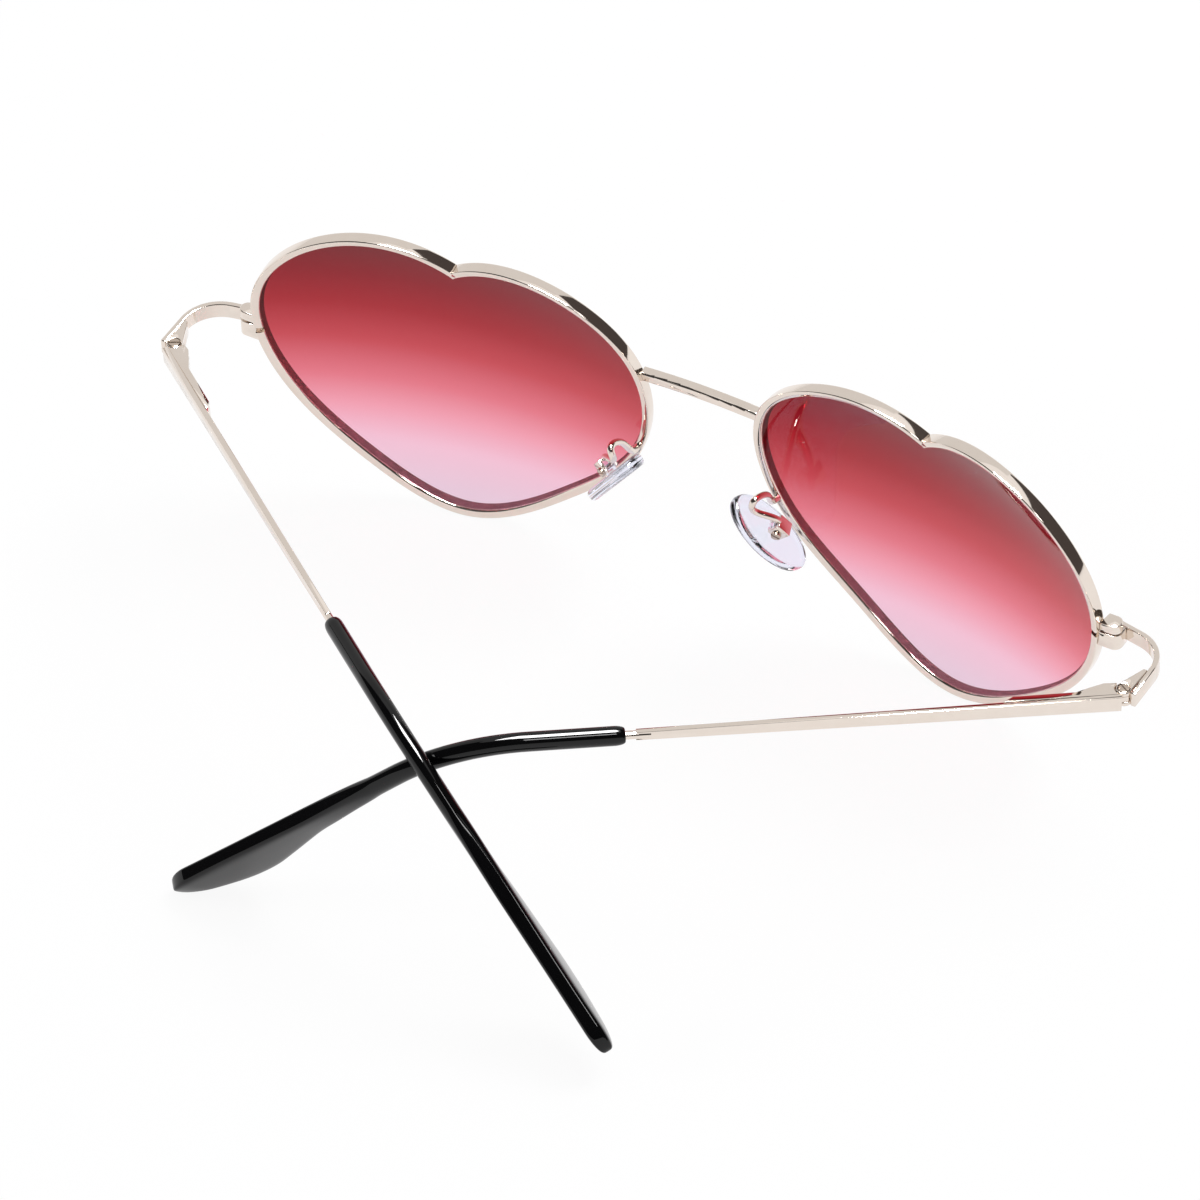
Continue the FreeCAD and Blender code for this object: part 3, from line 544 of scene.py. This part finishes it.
saw = put(
    screw_tree,
    "GeometryNodeTransform",
    {"Geometry": saw.outputs[0], "Translation": saw_level.outputs[0]},
)
slotted = put(
    screw_tree,
    "GeometryNodeMeshBoolean",
    {"Mesh 1": turned.outputs[0], "Mesh 2": saw.outputs[0]},
    operation="DIFFERENCE",
    solver="EXACT",
)
placed = put(
    screw_tree,
    "GeometryNodeTransform",
    {"Geometry": slotted.outputs[0], "Translation": screw_in["Place"], "Rotation": screw_in["Turn"]},
)
plain = put(screw_tree, "GeometryNodeRealizeInstances", {"Geometry": placed.outputs[0]})
plated = put(
    screw_tree,
    "GeometryNodeSetMaterial",
    {"Geometry": plain.outputs[0], "Material": screw_in["Plating"]},
)
screw_tree.links.new(plated.outputs[0], screw_out["Geometry"])


def turn_screw(node, place, axis, spin, head_radius, head_height, shank_radius, shank_length):
    # Half section of the screw, drawn from the shank's end up to the middle of the head
    chamfer = head_height / 4
    half_section = [
        (0.0, -shank_length),
        (shank_radius, -shank_length),
        (shank_radius, 0.0),
        (head_radius, 0.0),
        (head_radius, head_height - chamfer),
        (head_radius - chamfer / 3, head_height - chamfer / 3),
        (head_radius - chamfer, head_height),
        (0.0, head_height),
    ]
    aim = Vector((0, 0, 1)).rotation_difference(axis).to_matrix() @ Matrix.Rotation(spin, 3, "Z")
    piece = grow(
        "slotted_" + node,
        line_mesh(node + "_half_section", [(x, -y, 0.0) for x, y in half_section]),
        screw_tree,
        {
            "Head Radius": head_radius,
            "Head Height": head_height,
            "Slot Width": head_radius * SLOT_WIDTH_SHARE,
            "Slot Depth": head_height * SLOT_DEPTH_SHARE,
            "Place": place,
            "Turn": aim.to_euler(),
            "Plating": screw_plating_painted_shade,
        },
    )
    piece.data.shade_smooth()
    piece.data.set_sharp_from_angle(angle=SHARP_ANGLE)
    stand_for(piece, node, "front")


joints = {joint["name"]: joint for joint in frame["record"]["behaviour"]["joints"]}
UP, DOWN = Vector((0, 0, 1)), Vector((0, 0, -1))
for side, hand in SIDES.items():
    low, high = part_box(side + "_hinge_screw")
    level = high[2] - HINGE_SCREW["head_height"]
    seat = Vector(((low[0] + high[0]) / 2, (low[1] + high[1]) / 2, level))
    turn_screw(side + "_hinge_screw", seat, UP, hand * HINGE_SLOT_TURN, **HINGE_SCREW)
    low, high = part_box(side + "_closing_screw")
    level = low[2] + CLOSING_SCREW["head_height"]
    seat = Vector(((low[0] + high[0]) / 2, (low[1] + high[1]) / 2, level))
    turn_screw(side + "_closing_screw", seat, DOWN, hand * CLOSING_SLOT_TURN, **CLOSING_SCREW)
    joint = joints[side + "_pad_rock"]
    axis = Vector(joint["axis"]).normalized()
    seat = Vector(joint["pos_m"]) + axis * PAD_SCREW_REACH
    turn_screw(side + "_pad_screw", seat, axis, hand * PAD_SLOT_TURN, **PAD_SCREW)

# Arms and hinge leaves: strip of the same plated alloy, drawn down to a thin round wire that
# runs inside the black tip. Each hinge leaf is brazed to the inside of its strip.
for side in SIDES:
    for name in ("hinge_leaf", "arm"):
        polished("%s_%s" % (side, name), POLISHED_EDGE, side + "_temple", gold)

# Tips: black sleeves of moulded acetate pushed over the arm's wire. They start round, bend behind
# the ear, twist, and end in a flat paddle, and they are polished to a deep gloss.
SLEEVE_WIDTH, SLEEVE_HEIGHT, PADDLE_HEIGHT = 0.00255, 0.0029, 0.0088
STRIP_MIDDLE, SLEEVE_SETBACK = 0.00155, 0.0682
BEND_SETBACK, BEND_RADIUS = 0.0917, 0.0235
TAIL_LENGTH, TAIL_DROP, TAIL_INWARD = 0.05316, math.radians(43.4), math.radians(22.0)
PADDLE_TWIST, PADDLE_SAG, ROUND_UNTIL = math.radians(36.0), 0.95, 0.6
# Fold and rise of each arm at rest
FOLDS = {
    "left": (math.radians(51.3), math.radians(5.75)),
    "right": (math.radians(52.6), math.radians(4.1)),
}
# Share of the length, then the shares of the paddle's growth and of its twist
TIP_SHARES = (
    (0.00, 0.00, 0.00),
    (0.26, 0.00, 0.02),
    (0.38, 0.02, 0.33),
    (0.45, 0.04, 0.50),
    (0.56, 0.12, 0.78),
    (0.66, 0.34, 1.00),
    (0.75, 0.72, 1.00),
    (0.82, 1.00, 1.00),
    (0.88, 0.97, 1.00),
    (0.93, 0.72, 1.00),
    (0.97, 0.45, 1.00),
    (1.00, 0.20, 1.00),
)
# Shares of the length that the rounded mouth and the nose take up, and the least size of each
MOUTH, NOSE, MOUTH_SIZE, NOSE_SIZE = 0.02, 0.05, 0.6, 0.02
TIP_STEPS, RING_STEPS = 200, 56
SMOOTHING, SMOOTHING_STEPS = 0.025, 21
TIP_TONES = (0.0010, 0.0010, 0.0012), (0.0022, 0.0022, 0.0026)
tip, tree, shader = new_material("black_tip_gloss")
marks = add_polish(tree, shader, scale=220.0, low=0.012, high=0.04, wave=0.04)
two_tones(tree, shader, marks.outputs["Cloud"], *TIP_TONES)
shader["IOR"].default_value = 1.38

tip_tree, tip_in, tip_out = new_group(
    "acetate_tip",
    "GeometryNodeTree",
    [
        ("Geometry", GEOMETRY, None),
        ("Sleeve Width", NUMBER, SLEEVE_WIDTH),
        ("Sleeve Height", NUMBER, SLEEVE_HEIGHT),
        ("Paddle Height", NUMBER, PADDLE_HEIGHT),
        ("Paddle Sag", NUMBER, PADDLE_SAG),
        ("Squareness", NUMBER, 6.0),
        ("Round Until", NUMBER, ROUND_UNTIL),
        ("Thin Edge", NUMBER, 0.1),
        ("Plastic", MATERIAL, None),
    ],
    [("Geometry", GEOMETRY)],
)


def reckon(operation, *terms):
    # A Math node of the tip's tree on up to three terms
    return put(tip_tree, "ShaderNodeMath", dict(enumerate(terms)), operation=operation).outputs[0]


def line_value(label, kind):
    return put(tip_tree, "GeometryNodeInputNamedAttribute", {"Name": label}, data_type=kind).outputs[0]


def keep_value(geometry, kind, source):
    # The geometry, and the value that each of its points had there
    kept = put(tip_tree, "GeometryNodeCaptureAttribute")
    kept.capture_items.new(kind, "Kept")
    tip_tree.links.new(geometry, kept.inputs[0])
    tip_tree.links.new(source, kept.inputs[1])
    return kept.outputs[0], kept.outputs[1]


path = put(tip_tree, "GeometryNodeMeshToCurve", {"Mesh": tip_in["Geometry"]}).outputs[0]
path, centre = keep_value(path, "VECTOR", put(tip_tree, "GeometryNodeInputPosition").outputs[0])
ring = put(tip_tree, "GeometryNodeCurvePrimitiveCircle", {"Resolution": RING_STEPS}).outputs[0]
ring, turn = keep_value(ring, "FLOAT", put(tip_tree, "GeometryNodeSplineParameter").outputs["Factor"])
swept = put(tip_tree, "GeometryNodeCurveToMesh", {"Curve": path, "Profile Curve": ring, "Fill Caps": True})
grown, turned, scale = (line_value(label, "FLOAT") for label in ("grown", "turned", "scale"))
angle = reckon("MULTIPLY", turn, 2 * math.pi)
left_to_turn = reckon("SUBTRACT", 1.0, tip_in["Round Until"])
flattened = reckon("DIVIDE", reckon("SUBTRACT", turned, tip_in["Round Until"]), left_to_turn)
flattened = reckon("MAXIMUM", flattened, 0.0)
power = reckon("MULTIPLY_ADD", reckon("SUBTRACT", tip_in["Squareness"], 2.0), flattened, 2.0)
power = reckon("DIVIDE", 2.0, power)
section = []
for wave in ("COSINE", "SINE"):
    value = reckon(wave, angle)
    size = reckon("POWER", reckon("ABSOLUTE", value), power)
    section.append(reckon("MULTIPLY", size, reckon("SIGN", value)))
below = reckon("MAXIMUM", reckon("MULTIPLY", section[1], -1.0), 0.0)
thinned = reckon("MULTIPLY", reckon("MULTIPLY", below, flattened), tip_in["Thin Edge"])
half_width = reckon("MULTIPLY", tip_in["Sleeve Width"], 0.5)
half_width = reckon("MULTIPLY", half_width, reckon("SQRT", scale))
half_width = reckon("MULTIPLY", half_width, reckon("SUBTRACT", 1.0, thinned))
growth = reckon("SUBTRACT", tip_in["Paddle Height"], tip_in["Sleeve Height"])
growth = reckon("MULTIPLY", growth, grown)
half_height = reckon("MULTIPLY", reckon("ADD", tip_in["Sleeve Height"], growth), 0.5)
half_height = reckon("MULTIPLY", half_height, scale)
sag = reckon("MULTIPLY", reckon("MULTIPLY", growth, 0.5), tip_in["Paddle Sag"])
sideways = reckon("MULTIPLY", section[0], half_width)
upwards = reckon("SUBTRACT", reckon("MULTIPLY", section[1], half_height), sag)
spot = centre
for label, distance in (("across", sideways), ("up", upwards)):
    step = put(
        tip_tree,
        "ShaderNodeVectorMath",
        {0: line_value(label, "FLOAT_VECTOR"), "Scale": distance},
        operation="SCALE",
    )
    spot = put(tip_tree, "ShaderNodeVectorMath", {0: spot, 1: step.outputs[0]}, operation="ADD").outputs[0]
shaped = put(tip_tree, "GeometryNodeSetPosition", {"Geometry": swept.outputs[0], "Position": spot})
soft = put(tip_tree, "GeometryNodeSetShadeSmooth", {"Geometry": shaped.outputs[0]})
plain = put(tip_tree, "GeometryNodeRealizeInstances", {"Geometry": soft.outputs[0]})
black = put(
    tip_tree,
    "GeometryNodeSetMaterial",
    {"Geometry": plain.outputs[0], "Material": tip_in["Plastic"]},
)
tip_tree.links.new(black.outputs[0], tip_out["Geometry"])


def tip_shares(reach):
    # Growth and twist, averaged over their surroundings, and the size of the section
    reaches, grown, turned = np.array(TIP_SHARES).T
    near = np.linspace(reach - SMOOTHING, reach + SMOOTHING, SMOOTHING_STEPS)
    size = 1.0
    if reach < MOUTH:
        size = MOUTH_SIZE + (1 - MOUTH_SIZE) * math.sqrt(1 - (1 - reach / MOUTH) ** 2)
    elif reach > 1 - NOSE:
        size = max(math.sqrt(max(1 - (1 - (1 - reach) / NOSE) ** 2, 0.0)), NOSE_SIZE)
    return np.interp(near, reaches, grown).mean(), np.interp(near, reaches, turned).mean(), size


def sleeve_place(reach):
    # Point and direction on the sleeve's middle line, seen from the hinge of an open arm
    back = Vector((0, -1, 0))
    tail = Vector((
        -math.sin(TAIL_INWARD) * math.cos(TAIL_DROP),
        math.cos(TAIL_INWARD) * math.cos(TAIL_DROP),
        -math.sin(TAIL_DROP),
    ))
    bend = Vector((STRIP_MIDDLE, BEND_SETBACK, 0))
    half = back.angle(tail) / 2
    cut = BEND_RADIUS / math.tan(half)
    straight = BEND_SETBACK - cut - SLEEVE_SETBACK
    arc = BEND_RADIUS * (math.pi - 2 * half)
    distance = reach * (straight + arc + TAIL_LENGTH - cut)
    if distance <= straight:
        return Vector((STRIP_MIDDLE, SLEEVE_SETBACK + distance, 0)), -back
    if distance <= straight + arc:
        middle = bend + (back + tail).normalized() * BEND_RADIUS / math.sin(half)
        arm = bend + back * cut - middle
        swing = (distance - straight) / BEND_RADIUS
        side = -back * BEND_RADIUS
        point = middle + arm * math.cos(swing) + side * math.sin(swing)
        return point, (side * math.cos(swing) - arm * math.sin(swing)).normalized()
    return bend + tail * (cut + distance - straight - arc), tail


for side, hand in SIDES.items():
    fold, rise = FOLDS[side]
    pose = Matrix.Rotation(fold, 3, "Z") @ Matrix.Rotation(rise, 3, "X")
    flip = Matrix.Diagonal((hand, 1, 1))
    hinge = Vector(joints[side + "_fold"]["pos_m"])
    line, values = [], {"grown": [], "turned": [], "scale": [], "across": [], "up": []}
    for step in range(TIP_STEPS + 1):
        reach = (1 - math.cos(math.pi * step / TIP_STEPS)) / 2
        grown, turned, scale = tip_shares(reach)
        point, along = sleeve_place(reach)
        across = Matrix.Rotation(turned * PADDLE_TWIST, 3, along) @ along.cross(UP).normalized()
        up = across.cross(along).normalized()
        line.append(hinge + flip @ pose @ point)
        for label, value in (("grown", grown), ("turned", turned), ("scale", scale)):
            values[label].append(value)
        values["across"].append(flip @ pose @ across * -hand)
        values["up"].append(flip @ pose @ up)
    mesh = line_mesh(side + "_tip_line", line)
    for label, rows in values.items():
        vector = label in ("across", "up")
        made = mesh.attributes.new(label, "FLOAT_VECTOR" if vector else "FLOAT", "POINT")
        made.data.foreach_set("vector" if vector else "value", np.array(rows, dtype=np.float32).ravel())
    piece = grow(side + "_acetate_tip", mesh, tip_tree, {"Plastic": tip})
    stand_for(piece, side + "_arm_tip", side + "_temple")

# Pad arms and boxes: soft plated wire, bent to a loop so that it can be set to the wearer's nose,
# with a folded clip at its end. Both are brazed, the wire to the rear of the rim.
PAD_BOX_EDGE = 0.00016


def dress(names, material):
    # The solids as they are, with a material of the scene
    for name in names:
        slots = nodes[name].data.materials
        slots.clear()
        slots.append(material)


for side in SIDES:
    polished(side + "_pad_box", PAD_BOX_EDGE, "front", gold)
dress(["left_pad_arm", "right_pad_arm"], gold)

# Nose pads: clear moulded vinyl with a faint cool tinge and a rounded, glassy edge. A boss on the
# back of each sits in the box and rocks on its screw.
PAD_TONES = (0.84, 0.855, 0.985), (0.88, 0.89, 0.985)
pad, tree, shader = new_material("clear_pad")
marks = add_polish(tree, shader, scale=300.0, low=0.02, high=0.08)
two_tones(tree, shader, marks.outputs["Cloud"], *PAD_TONES)
shader["Transmission Weight"].default_value = 1.0
shader["IOR"].default_value = 1.45
dress(["left_nose_pad", "right_nose_pad"], pad)

# Studio: a white floor and surround, a broad soft lamp above and a weaker one at the side, which no
# surface mirrors, and dark, pale and glowing cards round them that only polished surfaces mirror.
FLOOR_REACH = 3.0
FLOOR_GLOW, FLOOR_MIRRORED, SURROUND_MIRRORED = 0.92, 0.7, 1.0
SURROUND_LIGHT, SURROUND_WHITE = (0.62, 0.62, 0.64), (1.0, 1.0, 1.0)


def rectangle(across, along, level):
    # Corners of a level sheet between two places across and two along
    return [
        (across[0], along[0], level),
        (across[1], along[0], level),
        (across[1], along[1], level),
        (across[0], along[1], level),
    ]


floor_mesh = bpy.data.meshes.new("studio_floor")
floor_span = (-FLOOR_REACH, FLOOR_REACH)
floor_mesh.from_pydata(rectangle(floor_span, floor_span, 0.0), [], [(0, 1, 2, 3)])
floor = bpy.data.objects.new("studio_floor", floor_mesh)
bpy.context.scene.collection.objects.link(floor)
floor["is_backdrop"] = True
paper, tree, shader = new_material("white_paper")
shader["Base Color"].default_value = (0.85, 0.85, 0.85, 1.0)
shader["Roughness"].default_value = 0.9


def white_to_eye(tree, mirrored):
    # 1 for rays from the camera and through glass, the given share for those from polished metal
    rays = put(tree, "ShaderNodeLightPath").outputs
    glossy = put(tree, "ShaderNodeMath", {0: rays["Is Glossy Ray"], 1: mirrored}, operation="MULTIPLY")
    seen = put(
        tree,
        "ShaderNodeMath",
        {0: rays["Is Camera Ray"], 1: glossy.outputs[0]},
        operation="MAXIMUM",
    )
    return put(
        tree,
        "ShaderNodeMath",
        {0: seen.outputs[0], 1: rays["Is Transmission Ray"]},
        operation="MAXIMUM",
    ).outputs[0]


glow = put(tree, "ShaderNodeEmission", {"Strength": 1.0})
share = put(
    tree,
    "ShaderNodeMath",
    {0: white_to_eye(tree, FLOOR_MIRRORED), 1: FLOOR_GLOW},
    operation="MULTIPLY",
)
mix = put(
    tree,
    "ShaderNodeMixShader",
    {0: share.outputs[0], 1: tree.nodes["Principled BSDF"].outputs[0], 2: glow.outputs[0]},
)
tree.links.new(mix.outputs[0], tree.nodes["Material Output"].inputs["Surface"])
floor_mesh.materials.append(paper)

world = bpy.data.worlds.new("studio")
bpy.context.scene.world = world
world.use_nodes = True
tree = world.node_tree
pick = put(tree, "ShaderNodeMix", {"Factor": white_to_eye(tree, SURROUND_MIRRORED)}, data_type="RGBA")
pick.inputs["A"].default_value = SURROUND_LIGHT + (1.0,)
pick.inputs["B"].default_value = SURROUND_WHITE + (1.0,)
tree.links.new(pick.outputs["Result"], tree.nodes["Background"].inputs["Color"])

CARD_STEPS = 24
# Name, degrees round the object and above the floor, distance, strength and colour
BENT_CARDS = (
    ("dark_front_card", (-112, -13), (-3, 54), 1.6, 1.0, (0.030, 0.018, 0.015)),
    ("dark_back_card", (90, 252), (6, 72), 1.6, 1.0, (0.020, 0.018, 0.018)),
    ("pale_card", (-13, 90), (2, 60), 1.6, 1.0, (0.76, 0.75, 0.74)),
    ("window_card", (-134, -121), (44, 52), 1.4, 14.0, (1.0, 1.0, 1.0)),
)
CEILING_ACROSS, CEILING_ALONG, CEILING_LEVEL = (-0.6, 0.15), (-0.45, 0.25), 1.5
CEILING_STRENGTH, CEILING_COLOUR = 60.0, (1.0, 1.0, 1.0)
# Name, place, size and power
SOFTBOXES = (
    ("top_softbox", (-0.32, -0.56, 1.04), 0.5, 7.0),
    ("side_softbox", (1.0, 0.6, 0.6), 0.4, 4.0),
)


def hang_card(name, points, faces, strength, colour):
    # A glowing or dark card that only mirror-like surfaces see
    card_mesh = bpy.data.meshes.new(name)
    card_mesh.from_pydata(points, [], faces)
    surface, tree, shader = new_material(name)
    shader["Base Color"].default_value = (0.0, 0.0, 0.0, 1.0)
    shader["Emission Color"].default_value = colour + (1.0,)
    shader["Emission Strength"].default_value = strength
    card_mesh.materials.append(surface)
    card = bpy.data.objects.new(name, card_mesh)
    bpy.context.scene.collection.objects.link(card)
    card.visible_camera = False
    card.visible_diffuse = False
    card.visible_transmission = False
    card.visible_shadow = False
    card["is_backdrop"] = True


for name, turns, rises, distance, strength, colour in BENT_CARDS:
    # A patch of a ball: 0 degrees is where the lenses face, and turns go to the wearer's left
    points, faces = [], []
    for row in range(CARD_STEPS + 1):
        rise = math.radians(rises[0] + (rises[1] - rises[0]) * row / CARD_STEPS)
        for column in range(CARD_STEPS + 1):
            turn = math.radians(turns[0] + (turns[1] - turns[0]) * column / CARD_STEPS)
            reach = distance * math.cos(rise)
            points.append((math.sin(turn) * reach, -math.cos(turn) * reach, math.sin(rise) * distance))
    for row in range(CARD_STEPS):
        for column in range(CARD_STEPS):
            corner = row * (CARD_STEPS + 1) + column
            faces.append((corner, corner + 1, corner + CARD_STEPS + 2, corner + CARD_STEPS + 1))
    hang_card(name, points, faces, strength, colour)
hang_card(
    "ceiling_card",
    rectangle(CEILING_ACROSS, CEILING_ALONG, CEILING_LEVEL),
    [(0, 1, 2, 3)],
    CEILING_STRENGTH,
    CEILING_COLOUR,
)

for name, spot, breadth, power in SOFTBOXES:
    lamp = bpy.data.lights.new(name, "AREA")
    lamp.energy = power
    lamp.size = breadth
    light = bpy.data.objects.new(name, lamp)
    light.visible_glossy = False
    light.location = spot
    light.rotation_euler = Vector(spot).to_track_quat("Z", "Y").to_euler()
    bpy.context.scene.collection.objects.link(light)

# Camera: far back with a long lens, above and behind the folded pair. It aims a little to the left of
# and below the middle of the front, to frame the pair as the photo does.
EYE_DIRECTION = Vector((-0.38559, 0.62680, 0.67710))
EYE_DISTANCE = 1.9891
ROLL = math.radians(-2.745)
FOCAL_LENGTH, SENSOR_WIDTH, FAR_END = 432.7, 36.0, 20.0
FOCAL_PIXELS, PIXELS_RIGHT, PIXELS_UP = 14423.0, -105.61, -146.66
origin = Vector((0.0, -0.0434406, 0.0267723))
ahead = -EYE_DIRECTION.normalized()
level_right = ahead.cross(UP).normalized()
level_up = level_right.cross(ahead)
right = level_right * math.cos(ROLL) + level_up * math.sin(ROLL)
up = level_up * math.cos(ROLL) - level_right * math.sin(ROLL)
aim = (ahead + right * (PIXELS_RIGHT / FOCAL_PIXELS) + up * (PIXELS_UP / FOCAL_PIXELS)).normalized()
sideways = aim.cross(up).normalized()
camera = bpy.data.objects.new("camera", bpy.data.cameras.new("camera"))
camera.data.lens = FOCAL_LENGTH
camera.data.sensor_width = SENSOR_WIDTH
camera.data.clip_end = FAR_END
camera.matrix_world = Matrix.Translation(origin + EYE_DIRECTION * EYE_DISTANCE) @ Matrix(
    (sideways, sideways.cross(aim), -aim)
).transposed().to_4x4()
bpy.context.scene.collection.objects.link(camera)
bpy.context.scene.camera = camera
bpy.context.scene.view_settings.view_transform = "Standard"

low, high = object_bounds()
